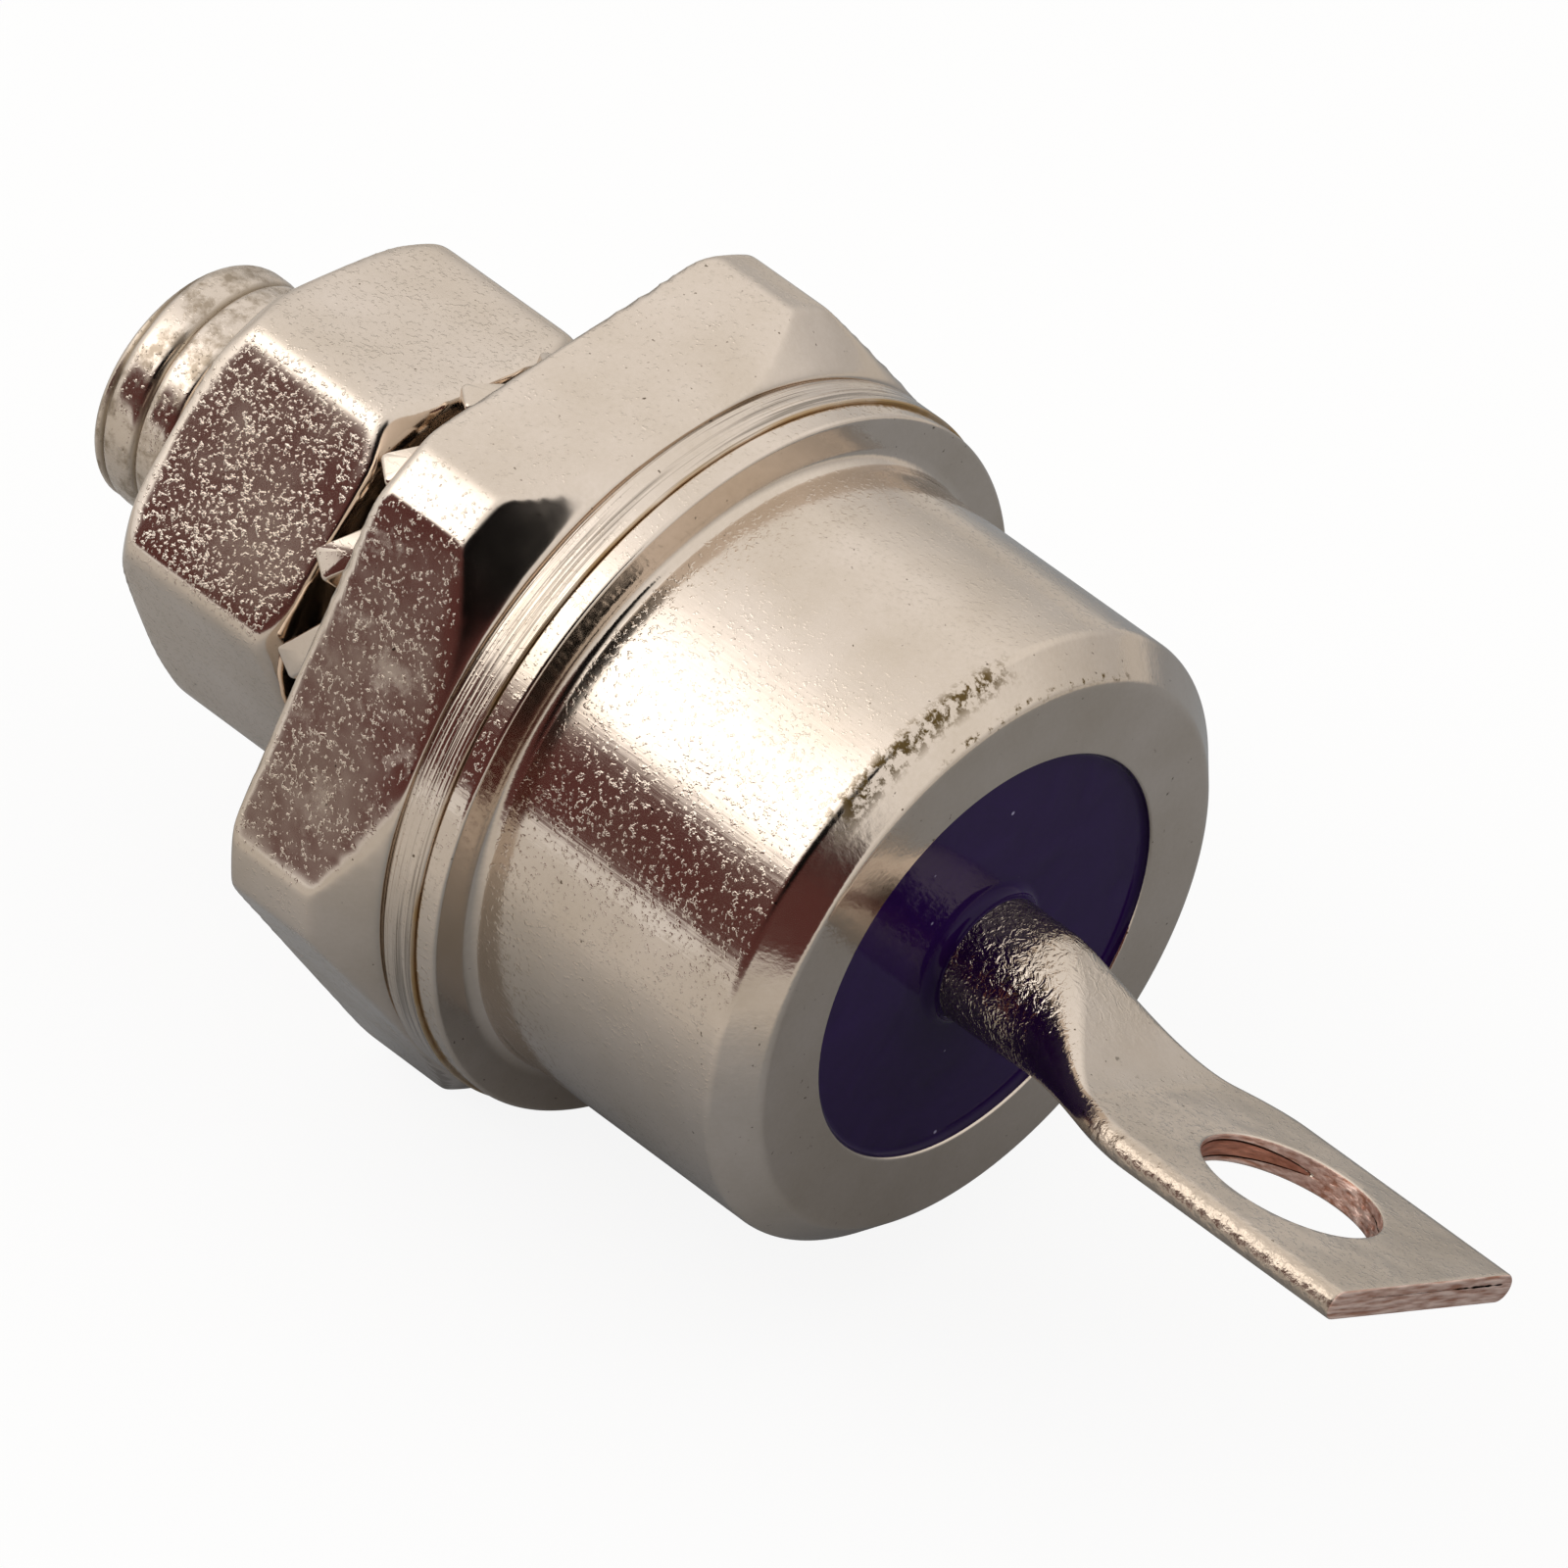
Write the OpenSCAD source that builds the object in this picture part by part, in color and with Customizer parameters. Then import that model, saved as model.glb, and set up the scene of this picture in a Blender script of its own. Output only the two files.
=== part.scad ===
// Stud diode: a copper hexagon with a threaded stud, a welded steel cap with a glass seal,
// and a tube terminal pressed flat into a tab with a hole. A loose nut and a toothed lock
// washer sit on the stud. Millimetres.
// The diode lies on one flat of its hexagon: +X runs along its axis towards the terminal,
// +Z is up, and the origin is the middle of the seat, the face that meets the heat sink.
// The pieces are drawn along their own axis, with the seat at height 0, and then laid down.

/* [Hexagon and stud] */
// Hexagon, across its flats
hex_af = 17.4; // [15:0.1:20]
// Height of the hexagon from the seat to the weld ring
hex_t = 3.7; // [2.9:0.1:5]
// How much of each sharp corner the round bar leaves off
hex_corner_trim = 0.35; // [0.1:0.05:0.6]
// Height of the turned cone over the corners
hex_cone_h = 1.2; // [0.6:0.1:2]
// Chamfer round the corners at the seat
seat_chamfer = 0.2; // [0.1:0.05:0.4]
// Outside diameter of the stud's thread
stud_d = 5.9; // [5:0.1:7]
// Length of the stud from the seat to its tip
stud_l = 11.4; // [10:0.1:14]
// Length of the rounded tip
stud_tip = 0.5; // [0.3:0.1:1]
// Height of the platform for the silicon, above the hexagon
platform_h = 1.5; // [0.8:0.1:2]
// Clearance between the platform and the cap
platform_clear = 0.4; // [0.2:0.1:0.6]

/* [Weld ring and cap] */
// Thickness of the weld ring
ring_t = 0.95; // [0.6:0.05:1.4]
// Groove at the foot of the weld ring, width and depth
ring_groove = 0.1; // [0.05:0.01:0.2]
// Step from the weld ring in to the cap's flange
flange_inset = 0.1; // [0.05:0.05:0.4]
// Thickness of the flange at its rim
flange_t = 0.55; // [0.2:0.05:0.8]
// Radius of the hollow between flange and wall
flange_fillet = 0.3; // [0.2:0.05:0.8]
// Width of the flange, outside the cap's wall
flange_w = 1.1; // [0.9:0.05:1.5]
// Height of the cap from the weld ring to its top
cap_h = 8.4; // [7.6:0.1:10]
// Wall of the cap
cap_wall = 0.9; // [0.6:0.1:1.2]
// Thickness of the cap's top
cap_top_t = 1.9; // [1.2:0.1:2.2]
// Width and height of the sloped shoulder
shoulder = 0.8; // [0.4:0.05:1.2]
// Rounding where the shoulder meets the wall and the top
shoulder_r = 0.3; // [0.2:0.05:0.7]
// Diameter of the glass seal
seal_d = 9.9; // [8:0.1:10.5]
// Depth of the glass below the cap's top
glass_recess = 0.2; // [0.1:0.05:0.5]
// Height and width of the glass's rise at the tube
meniscus = 0.3; // [0.1:0.05:0.5]

/* [Terminal] */
// Diameter of the tube
tube_d = 3; // [2.6:0.1:3.6]
// Length of the tube below the glass
tube_foot = 0.4; // [0.2:0.1:0.8]
// Length of the tube above the cap that stays round
tube_round = 1.3; // [0.8:0.1:2]
// Length over which the tube is pressed flat
flatten_l = 4; // [3:0.1:4.5]
// Distance from there to where it starts to spread
spread_start = 0.5; // [0.3:0.1:1.5]
// Length over which it spreads to the tab's width
spread_l = 5.2; // [4.5:0.1:6]
// Width of the tab
tab_w = 6.7; // [6:0.1:7.5]
// Thickness of the tab
tab_t = 0.7; // [0.65:0.05:1.2]
// Drop of the tab's upper face below the axis
tab_drop = 0.1; // [0:0.05:0.4]
// Height of the tab's end above the cap
terminal_h = 12.9; // [12:0.1:15]
// Diameter of the hole in the tab
hole_d = 4.1; // [3.5:0.1:4.5]
// From the middle of the hole to the tab's end
hole_to_end = 3.9; // [3.5:0.1:5]
// Turn of the tab about the axis, from the flat that faces down
tab_turn = 149; // [0:1:360]
// Height of the slit that is left of the tube's bore at the tab's end
slit_h = 0.06; // [0.04:0.01:0.1]

/* [Silicon and lead] */
// Thickness of each solder layer
solder_t = 0.1; // [0.05:0.01:0.15]
// How far the lower molybdenum disc reaches past the silicon
lower_disc_margin = 0.5; // [0.3:0.1:0.8]
// Thickness of the lower molybdenum disc
lower_disc_t = 0.6; // [0.4:0.05:0.8]
// Diameter of the silicon
die_d = 7; // [6.4:0.1:7.4]
// Thickness of the silicon
die_t = 0.35; // [0.25:0.05:0.45]
// How far the upper molybdenum disc stays inside the silicon's edge
upper_disc_inset = 0.9; // [0.6:0.1:1.2]
// Thickness of the upper molybdenum disc
upper_disc_t = 0.5; // [0.3:0.05:0.6]
// Height of the silicone coat above the silicon
coat_h = 0.5; // [0.3:0.05:0.6]
// How far the foot of the lead stays inside the upper disc's edge
lead_foot_inset = 0.7; // [0.4:0.1:1]
// Thickness of the foot of the lead
lead_foot_t = 0.5; // [0.3:0.05:0.6]
// Diameter of the copper lead
lead_d = 1.4; // [1.1:0.1:1.6]
// Angle of each arc in the lead's relief bend
lead_bend = 40; // [30:1:44]
// Straight stretch of lead below and above the bend
lead_straight = 0.25; // [0.1:0.05:0.4]
// Width of the pressed lead inside the tab
core_w = 3.8; // [3:0.1:4.2]
// Length over which the lead spreads to that width
core_spread_l = 3.4; // [2.8:0.1:4]
// Thickness of the pressed lead inside the tab
core_t = 0.34; // [0.2:0.02:0.4]

/* [Nut and lock washer] */
// Nut, across its flats
nut_af = 10; // [9:0.1:12]
// How much the nut's sharp corners are rounded off
nut_corner_trim = 0.12; // [0.05:0.01:0.3]
// Height of the nut
nut_t = 4.9; // [4:0.1:6]
// Step from the nut's flats in to the rim of its two faces
nut_face_inset = 0.1; // [0.05:0.05:0.5]
// Countersink at both ends of the nut's bore
nut_sink = 0.4; // [0.2:0.05:0.6]
// Distance from the seat to the nut
nut_gap = 3; // [2.4:0.1:4]
// Turn of the nut against the hexagon
nut_turn = -11.6; // [-30:0.1:30]
// Clearance between the stud and the nut's bore
thread_clear = 0.03; // [0.01:0.01:0.1]
// Clearance between the stud and the lock washer
washer_clear = 0.2; // [0.1:0.05:0.4]
// Width of the lock washer's ring, from its bore to the roots of the teeth
washer_rim = 1.2; // [0.9:0.05:1.5]
// Length of a tooth
tooth_l = 1.15; // [0.8:0.05:1.4]
// Thickness of the lock washer's strip
washer_t = 0.75; // [0.5:0.05:0.9]
// Number of teeth
teeth = 14; // [10:1:16]
// Width of a tooth
tooth_w = 1.7; // [1.3:0.1:1.9]
// Twist of a tooth out of the washer's plane
tooth_twist = 40; // [20:1:50]
// Turn of the lock washer on the stud
washer_turn = -4.5; // [-13:0.5:13]

/* [Hidden] */
$fn = 64;

nickel = "#cfc5b4";
copper = "#b87352";
glass_blue = "#2a1a5e";

// A cut runs this far past the faces that it opens
past = 1;

hex_corner_r = hex_af / 2 / cos(30) - hex_corner_trim;
stud_r = stud_d / 2;
ring_r = hex_af / 2;
flange_r = ring_r - flange_inset;
cap_r = flange_r - flange_w;
cap_in_r = cap_r - cap_wall;
platform_r = cap_in_r - platform_clear;
seal_r = seal_d / 2;
tube_r = tube_d / 2;
lead_r = lead_d / 2;
die_r = die_d / 2;
lower_disc_d = die_d + 2 * lower_disc_margin;
upper_disc_d = die_d - 2 * upper_disc_inset;
lead_foot_d = upper_disc_d - 2 * lead_foot_inset;

// Heights above the seat, from the hexagon up to the tab's end
ring_top = hex_t + ring_t;
cap_top = ring_top + cap_h;
ceiling = cap_top - cap_top_t;
glass_top = cap_top - glass_recess;
platform_top = hex_t + platform_h;
lower_disc_z = platform_top + solder_t;
lower_disc_top = lower_disc_z + lower_disc_t;
die_z = lower_disc_top + solder_t;
die_top = die_z + die_t;
upper_disc_z = die_top + solder_t;
upper_disc_top = upper_disc_z + upper_disc_t;
lead_foot_z = upper_disc_top + solder_t;
lead_z = lead_foot_z + lead_foot_t;
tube_z = ceiling - tube_foot;
flatten_z = cap_top + tube_round;
spread_z = flatten_z + spread_start;
tab_end = cap_top + terminal_h;
hole_z = tab_end - hole_to_end;

// A smooth step from 0 at a to 1 at b
function ease(a, b, z) =
    let (t = min(1, max(0, (z - a) / (b - a))))
    t * t * (3 - 2 * t);

// The pressed tube at a height: its upper and lower faces and half its width
function tube_upper(z) = tube_r - (tube_r + tab_drop) * ease(flatten_z, flatten_z + flatten_l, z);
function tube_lower(z) =
    -tube_r + (tube_r - tab_drop - tab_t) * ease(flatten_z, flatten_z + flatten_l, z);
function tube_half_w(z) = tube_r + (tab_w / 2 - tube_r) * ease(spread_z, spread_z + spread_l, z);
function tube_middle(z) = (tube_upper(z) + tube_lower(z)) / 2;
function tube_half_t(z) = (tube_upper(z) - tube_lower(z)) / 2;

// The lead inside it is pressed with it, from a round wire to a lens
function core_half_w(z) = lead_r + (core_w / 2 - lead_r) * ease(spread_z, spread_z + core_spread_l, z);
function core_half_t(z) = lead_r + (core_t / 2 - lead_r) * ease(flatten_z, flatten_z + flatten_l, z);

// Angles of the points round a section, half of them on each side
side_points = 16;
ring_angles = [for (k = [0 : 2 * side_points - 1]) -90 + 180 * (k + 0.5) / side_points];

// Two half circles with straight sides between them: a circle while width and thickness are equal
function pressed_ring(z) =
    let (v = tube_half_t(z), shift = tube_half_w(z) - v)
    [
        for (a = ring_angles)
            [(a < 90 ? shift : -shift) + v * cos(a), tube_middle(z) + v * sin(a), z]
    ];
function lens_ring(z) = [
    for (a = ring_angles)
        [core_half_w(z) * cos(a), tube_middle(z) + core_half_t(z) * sin(a), z]
];

// A solid through rings of points, each running anticlockwise, from the lowest ring up
module loft(rings) {
    n = len(rings[0]);
    count = len(rings);
    faces = concat(
        [[for (j = [0 : n - 1]) j]],
        [[for (j = [n - 1 : -1 : 0]) (count - 1) * n + j]],
        [
            for (i = [0 : count - 2], j = [0 : n - 1])
                let (a = i * n + j, b = i * n + (j + 1) % n)
                [a, a + n, b + n, b]
        ]
    );
    polyhedron([for (ring = rings, p = ring) p], faces, convexity = 6);
}

// Lays the drawn axis along +X, with the drawn +X facing down
module lay() {
    rotate([0, 90, 0])
        children();
}

module disc(d, z, t) {
    translate([0, 0, z])
        cylinder(d = d, h = t);
}

// A hexagon bar with a corner at 30 degrees, so one flat faces the drawn +X
module hex_bar(af, z, t) {
    translate([0, 0, z])
        rotate(30)
            cylinder(d = af / cos(30), h = t, $fn = 6);
}

module base_stud() {
    color(nickel)
        lay() {
            intersection() {
                hex_bar(hex_af, 0, hex_t);
                rotate_extrude()
                    polygon([
                        [0, 0],
                        [hex_corner_r - seat_chamfer, 0],
                        [hex_corner_r, seat_chamfer],
                        [hex_corner_r, hex_t - hex_cone_h],
                        [ring_r, hex_t],
                        [0, hex_t]
                    ]);
            }
            disc(2 * platform_r, hex_t / 2, platform_top - hex_t / 2);
            stud();
        }
}

// The stud is drawn at its thread's outside diameter, with a rounded tip
module stud() {
    rotate_extrude()
        polygon(concat(
            [[0, hex_t / 2], [stud_r, hex_t / 2]],
            [
                for (a = [0 : 15 : 90])
                    [stud_r - stud_tip * (1 - cos(a)), -stud_l + stud_tip * (1 - sin(a))]
            ],
            [[0, -stud_l]]
        ));
}

// Steel ring brazed round the platform, which takes the cap's weld
module weld_ring() {
    color(nickel)
        lay()
            rotate_extrude()
                polygon([
                    [platform_r, hex_t],
                    [ring_r - ring_groove, hex_t],
                    [ring_r - ring_groove, hex_t + ring_groove],
                    [ring_r, hex_t + ring_groove],
                    [ring_r, ring_top - flange_inset],
                    [ring_r - flange_inset, ring_top],
                    [platform_r, ring_top]
                ]);
}

// Drawn steel cap: flange, wall, sloped shoulder and a thick top with the seal's hole
module cap() {
    hollow = flange_fillet;
    rim = flange_t / 2;
    flange_top = ring_top + flange_t;
    corner = shoulder_r * tan(22.5);
    color(nickel)
        lay()
            rotate_extrude()
                polygon(concat(
                    [[cap_in_r, ring_top]],
                    [
                        for (a = [-90 : 15 : 90])
                            [flange_r - rim + rim * cos(a), ring_top + rim + rim * sin(a)]
                    ],
                    [
                        for (a = [270 : -10 : 180])
                            [cap_r + hollow + hollow * cos(a), flange_top + hollow + hollow * sin(a)]
                    ],
                    [
                        for (a = [0 : 9 : 45])
                            [
                                cap_r - shoulder_r + shoulder_r * cos(a),
                                cap_top - shoulder - corner + shoulder_r * sin(a)
                            ]
                    ],
                    [
                        for (a = [45 : 9 : 90])
                            [
                                cap_r - shoulder - corner + shoulder_r * cos(a),
                                cap_top - shoulder_r + shoulder_r * sin(a)
                            ]
                    ],
                    [
                        [seal_r, cap_top],
                        [seal_r, ceiling],
                        [cap_in_r - cap_wall / 2, ceiling],
                        [cap_in_r, ceiling - cap_wall / 2]
                    ]
                ));
}

// Glass fused between the cap and the tube, with a small rise at the tube
module glass_seal() {
    color(glass_blue)
        lay()
            rotate_extrude()
                polygon(concat(
                    [[tube_r, ceiling], [seal_r, ceiling], [seal_r, glass_top]],
                    [
                        for (a = [270 : -15 : 180])
                            [
                                tube_r + meniscus + meniscus * cos(a),
                                glass_top + meniscus + meniscus * sin(a)
                            ]
                    ]
                ));
}

// The tube's bore: round at first, then pressed with the lead to a lens that ends in the hole
core_steps = 10;
core_rings = [for (i = [0 : core_steps]) lens_ring(flatten_z + (hole_z - flatten_z) * i / core_steps)];
module tube_bore() {
    loft(concat([lens_ring(tube_z - past)], core_rings));
}

module tab_hole() {
    translate([0, 0, hole_z])
        rotate([90, 0, 0])
            cylinder(d = hole_d, h = 4 * tube_d, center = true);
}

// Copper tube, round in the glass and pressed into a flat tab beyond it
module terminal_tube() {
    rings = 14;
    spread_end = spread_z + spread_l;
    last = min(spread_end, tab_end - tab_t);
    color(nickel)
        lay()
            rotate(tab_turn - 90)
                difference() {
                    loft(concat(
                        [pressed_ring(tube_z)],
                        [for (i = [0 : rings]) pressed_ring(flatten_z + (last - flatten_z) * i / rings)],
                        [pressed_ring(tab_end)]
                    ));
                    tube_bore();
                    tab_hole();
                    translate([-core_w / 2, tube_middle(tab_end) - slit_h / 2, hole_z])
                        cube([core_w, slit_h, hole_to_end + past]);
                }
}

// The lead's relief bend: four equal arcs, out to one side and back. A place on it runs from 0 to 4.
bend_h = tube_z - lead_z - 2 * lead_straight;
bend_r = bend_h / 4 / sin(lead_bend);
bend_out = 2 * bend_r * (1 - cos(lead_bend));
function bend_tilt(place) = lead_bend * (place < 1 ? place : place < 3 ? 2 - place : place - 4);
function bend_side(place) =
    let (rise = bend_r * (1 - cos(bend_tilt(place))))
    place < 1 || place > 3 ? rise : bend_out - rise;
function bend_up(place) =
    let (rise = bend_r * sin(bend_tilt(place)))
    place < 1 ? rise : place < 3 ? bend_h / 2 - rise : bend_h + rise;

// Round section of the lead, square to its path
function wire_ring(side, z, tilt) = [
    for (a = ring_angles)
        [side + lead_r * cos(a) * cos(tilt), lead_r * sin(a), z - lead_r * cos(a) * sin(tilt)]
];

// Copper lead: a flat foot, a relief bend and the stretch that is pressed with the tube
module inner_lead() {
    arc_steps = 4;
    bend = [for (i = [0 : 4 * arc_steps]) i / arc_steps];
    bend_z = lead_z + lead_straight;
    color(copper)
        lay()
            rotate(tab_turn - 90)
                difference() {
                    union() {
                        disc(lead_foot_d, lead_foot_z, lead_foot_t);
                        loft(concat(
                            [wire_ring(0, lead_z - lead_foot_t / 2, 0)],
                            [for (k = bend) wire_ring(bend_side(k), bend_z + bend_up(k), bend_tilt(k))],
                            core_rings
                        ));
                    }
                    tab_hole();
                }
}

module solder_base() {
    color("silver")
        lay()
            disc(lower_disc_d, platform_top, solder_t);
}

module lower_moly_disc() {
    color("slategray")
        lay()
            disc(lower_disc_d, lower_disc_z, lower_disc_t);
}

module solder_die_lower() {
    color("silver")
        lay()
            disc(die_d, lower_disc_top, solder_t);
}

module silicon_die() {
    color("dimgray")
        lay()
            disc(die_d, die_z, die_t);
}

module solder_die_upper() {
    color("silver")
        lay()
            disc(upper_disc_d, die_top, solder_t);
}

module upper_moly_disc() {
    color("slategray")
        lay()
            disc(upper_disc_d, upper_disc_z, upper_disc_t);
}

module solder_lead() {
    color("silver")
        lay()
            disc(lead_foot_d, upper_disc_top, solder_t);
}

// Bead of silicone over the edge of the silicon, from the lower disc to the upper one
module junction_coat() {
    inner = upper_disc_d / 2;
    outer = lower_disc_d / 2;
    rise = die_top + coat_h - lower_disc_top;
    color("whitesmoke")
        lay()
            rotate_extrude()
                polygon(concat(
                    [[inner, die_top], [die_r, die_top], [die_r, lower_disc_top]],
                    [
                        for (a = [0 : 10 : 90])
                            [inner + (outer - inner) * cos(a), lower_disc_top + rise * sin(a)]
                    ]
                ));
}

// A tooth's section at a distance from its root, turned by its twist there
function tooth_ring(distance, turn) = [
    for (corner = [[-1, -1], [1, -1], [1, 1], [-1, 1]])
        let (x = corner[0] * tooth_w / 2, y = corner[1] * washer_t / 2)
        [x * cos(turn) + y * sin(turn), y * cos(turn) - x * sin(turn), distance]
];

// Stamped spring steel ring whose teeth are each twisted out of its plane
module lock_washer() {
    bore_r = stud_r + washer_clear;
    root_r = bore_r + washer_rim;
    overlap = washer_rim / 2;
    slices = 6;
    half_h = (tooth_w * sin(tooth_twist) + washer_t * cos(tooth_twist)) / 2;
    color(nickel)
        lay()
            translate([0, 0, half_h - nut_gap]) {
                difference() {
                    cylinder(r = root_r, h = washer_t, center = true);
                    cylinder(r = bore_r, h = washer_t + 2 * past, center = true);
                }
                for (k = [0 : teeth - 1])
                    rotate(washer_turn + 360 * k / teeth)
                        translate([root_r, 0, 0])
                            rotate([90, 0, 90])
                                loft([
                                    tooth_ring(-overlap, 0),
                                    for (i = [0 : slices])
                                        tooth_ring(tooth_l * i / slices, tooth_twist * i / slices)
                                ]);
            }
}

// Plain hexagon nut, chamfered on both faces
module hex_nut() {
    corner_r = nut_af / 2 / cos(30) - nut_corner_trim;
    face_r = nut_af / 2 - nut_face_inset;
    chamfer = (corner_r - face_r) * tan(30);
    bore_r = stud_r + thread_clear;
    color(nickel)
        lay()
            translate([0, 0, -nut_gap - nut_t])
                difference() {
                    intersection() {
                        rotate(nut_turn)
                            hex_bar(nut_af, 0, nut_t);
                        rotate_extrude()
                            polygon([
                                [0, 0],
                                [face_r, 0],
                                [corner_r, chamfer],
                                [corner_r, nut_t - chamfer],
                                [face_r, nut_t],
                                [0, nut_t]
                            ]);
                    }
                    rotate_extrude()
                        polygon([
                            [0, -past],
                            [bore_r + nut_sink, -past],
                            [bore_r + nut_sink, 0],
                            [bore_r, nut_sink],
                            [bore_r, nut_t - nut_sink],
                            [bore_r + nut_sink, nut_t],
                            [bore_r + nut_sink, nut_t + past],
                            [0, nut_t + past]
                        ]);
                }
}

base_stud();
weld_ring();
cap();
glass_seal();
terminal_tube();
inner_lead();
solder_base();
lower_moly_disc();
solder_die_lower();
silicon_die();
solder_die_upper();
upper_moly_disc();
solder_lead();
junction_coat();
lock_washer();
hex_nut();
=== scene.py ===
"""Looks of the stud diode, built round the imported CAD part, in the part's own frame.

The diode lies on one flat of its hexagon: +X runs along its axis to the terminal, +Z is up,
and the origin is the middle of the seat. Meshes are drawn in millimetres.
"""

import math

import bmesh
import bpy
import numpy as np
from mathutils import Matrix, Vector


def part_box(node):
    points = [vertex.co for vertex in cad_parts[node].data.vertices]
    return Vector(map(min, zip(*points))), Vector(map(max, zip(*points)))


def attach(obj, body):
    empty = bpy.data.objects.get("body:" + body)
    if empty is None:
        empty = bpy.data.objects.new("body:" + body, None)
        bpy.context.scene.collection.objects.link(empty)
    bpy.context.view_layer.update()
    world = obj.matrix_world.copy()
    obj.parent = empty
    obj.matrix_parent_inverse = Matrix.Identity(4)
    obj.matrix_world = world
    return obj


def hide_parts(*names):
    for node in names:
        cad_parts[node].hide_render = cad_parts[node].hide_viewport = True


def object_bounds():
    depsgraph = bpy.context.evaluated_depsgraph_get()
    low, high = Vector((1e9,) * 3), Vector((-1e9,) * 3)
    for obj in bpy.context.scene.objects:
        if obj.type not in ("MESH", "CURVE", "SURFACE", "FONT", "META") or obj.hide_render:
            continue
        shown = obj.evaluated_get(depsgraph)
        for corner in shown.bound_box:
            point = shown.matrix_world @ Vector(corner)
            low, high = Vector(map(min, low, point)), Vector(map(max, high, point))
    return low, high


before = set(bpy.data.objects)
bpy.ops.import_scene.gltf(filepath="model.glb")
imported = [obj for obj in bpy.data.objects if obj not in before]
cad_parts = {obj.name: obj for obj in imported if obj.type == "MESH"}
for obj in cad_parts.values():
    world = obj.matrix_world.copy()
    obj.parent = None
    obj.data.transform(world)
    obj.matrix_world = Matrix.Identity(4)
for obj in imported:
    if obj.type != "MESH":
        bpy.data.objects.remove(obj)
cad_low, cad_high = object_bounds()


# Base and stud: the heat sink end, turned from hexagon copper bar in one piece, with a rolled
# thread on the stud and a turned cone over the corners. Barrel finished, then nickel plated.

mm = 0.001
scene = bpy.context.scene


def size(part):
    """Lowest and highest corner of a CAD node, in millimetres."""
    low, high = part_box(part)
    return np.array(low) / mm, np.array(high) / mm


base_low, base_high = size("base_stud")
hexagon_half = base_high[2]
hexagon_corner = base_high[1]
hexagon_top = size("weld_ring")[0][0]
cone_height = 1.2
seat_chamfer = 0.2
edge_wear = 0.04
platform_r = 6.2
stud_r = 2.95
tip_round = 0.5
pitch = 1.0
thread_start = 0.29
thread_depth = 0.16
thread_runout = 1.2
thread_step = 0.06
valley_sharpness = 6
seat_radii = (stud_r, stud_r + 0.05, 5, 7)
platform_radii = (platform_r, 4, 2, 0)
bar_middle = (7.4, hexagon_top / 2)


def around(along, radius, turn):
    """Points in the part frame at a distance along the axis, a radius and a turn from straight down."""
    along, radius, turn = np.broadcast_arrays(along, radius, turn)
    return np.stack([along, radius * np.sin(turn), -radius * np.cos(turn)], axis=-1)


def merge_close(work):
    """Merges points that fall together, and removes the faces that this leaves without area."""
    bmesh.ops.remove_doubles(work, verts=work.verts, dist=0.001 * mm)
    bmesh.ops.dissolve_degenerate(work, edges=work.edges, dist=0.0005 * mm)


def skin(name, rings, loop=False):
    """A smooth mesh over rings of points in millimetres. A loop joins the last ring to the first."""
    rings = np.asarray(rings)
    count, columns = rings.shape[:2]
    index = np.arange(count * columns).reshape(count, columns)
    below = index if loop else index[:-1]
    above = np.roll(index, -1, axis=0) if loop else index[1:]
    corners = [below, np.roll(below, -1, axis=1), np.roll(above, -1, axis=1), above]
    faces = np.stack(corners, axis=-1).reshape(-1, 4)
    mesh = bpy.data.meshes.new(name)
    mesh.from_pydata((rings.reshape(-1, 3) * mm).tolist(), [], faces.tolist())
    work = bmesh.new()
    work.from_mesh(mesh)
    merge_close(work)
    bmesh.ops.recalc_face_normals(work, faces=work.faces)
    for face in work.faces:
        face.smooth = True
    work.to_mesh(mesh)
    work.free()
    return mesh


def thread_radius(along, turn):
    """A rolled thread's broad round crests and narrow valleys. It runs out at the seat."""
    phase = ((along - thread_start) / pitch - turn / (2 * math.pi)) % 1
    valley = np.abs(2 * phase - 1) ** valley_sharpness
    fade = np.clip(-along / thread_runout, 0, 1)
    return stud_r - thread_depth * valley * fade


def worn_hexagon(turn, aims, middle, half, corner, ends, cones, first_flat, wear):
    """Where rays from the middle of a bar's section meet its flats, ends and cones, with worn edges.
    A cone is a point on it and its outward lean. Each ray's end is found by halving."""
    near = np.zeros((len(aims), len(turn)))
    far = np.full_like(near, 2 * corner)
    for _ in range(40):
        reach = (near + far) / 2
        radius = middle[0] + reach * np.cos(aims)[:, None]
        along = middle[1] + reach * np.sin(aims)[:, None]
        limits = [radius * np.cos(turn - first_flat - math.radians(60 * k)) - half for k in range(6)]
        limits += [radius - corner, ends[0] - along, along - ends[1]]
        for (cone_r, cone_x), (lean_r, lean_x) in cones:
            past_cone = (radius - cone_r) * lean_r + (along - cone_x) * lean_x
            limits.append(past_cone / math.hypot(lean_r, lean_x))
        outside = wear * np.log(sum(np.exp(limit / wear) for limit in limits)) > 0
        far = np.where(outside, reach, far)
        near = np.where(outside, near, reach)
    return around(along, radius, turn)


def hexagon_turns(close, first_flat):
    """Turns round a hexagon, close together where its flats turn into its corners."""
    half_flat = np.concatenate([[0, 5, 10, 14, 18, 20.5], close])
    flat = np.concatenate([-half_flat[:0:-1], half_flat, [30]])
    return first_flat + np.radians(np.concatenate([flat + 60 * k for k in range(6)]))


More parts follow.
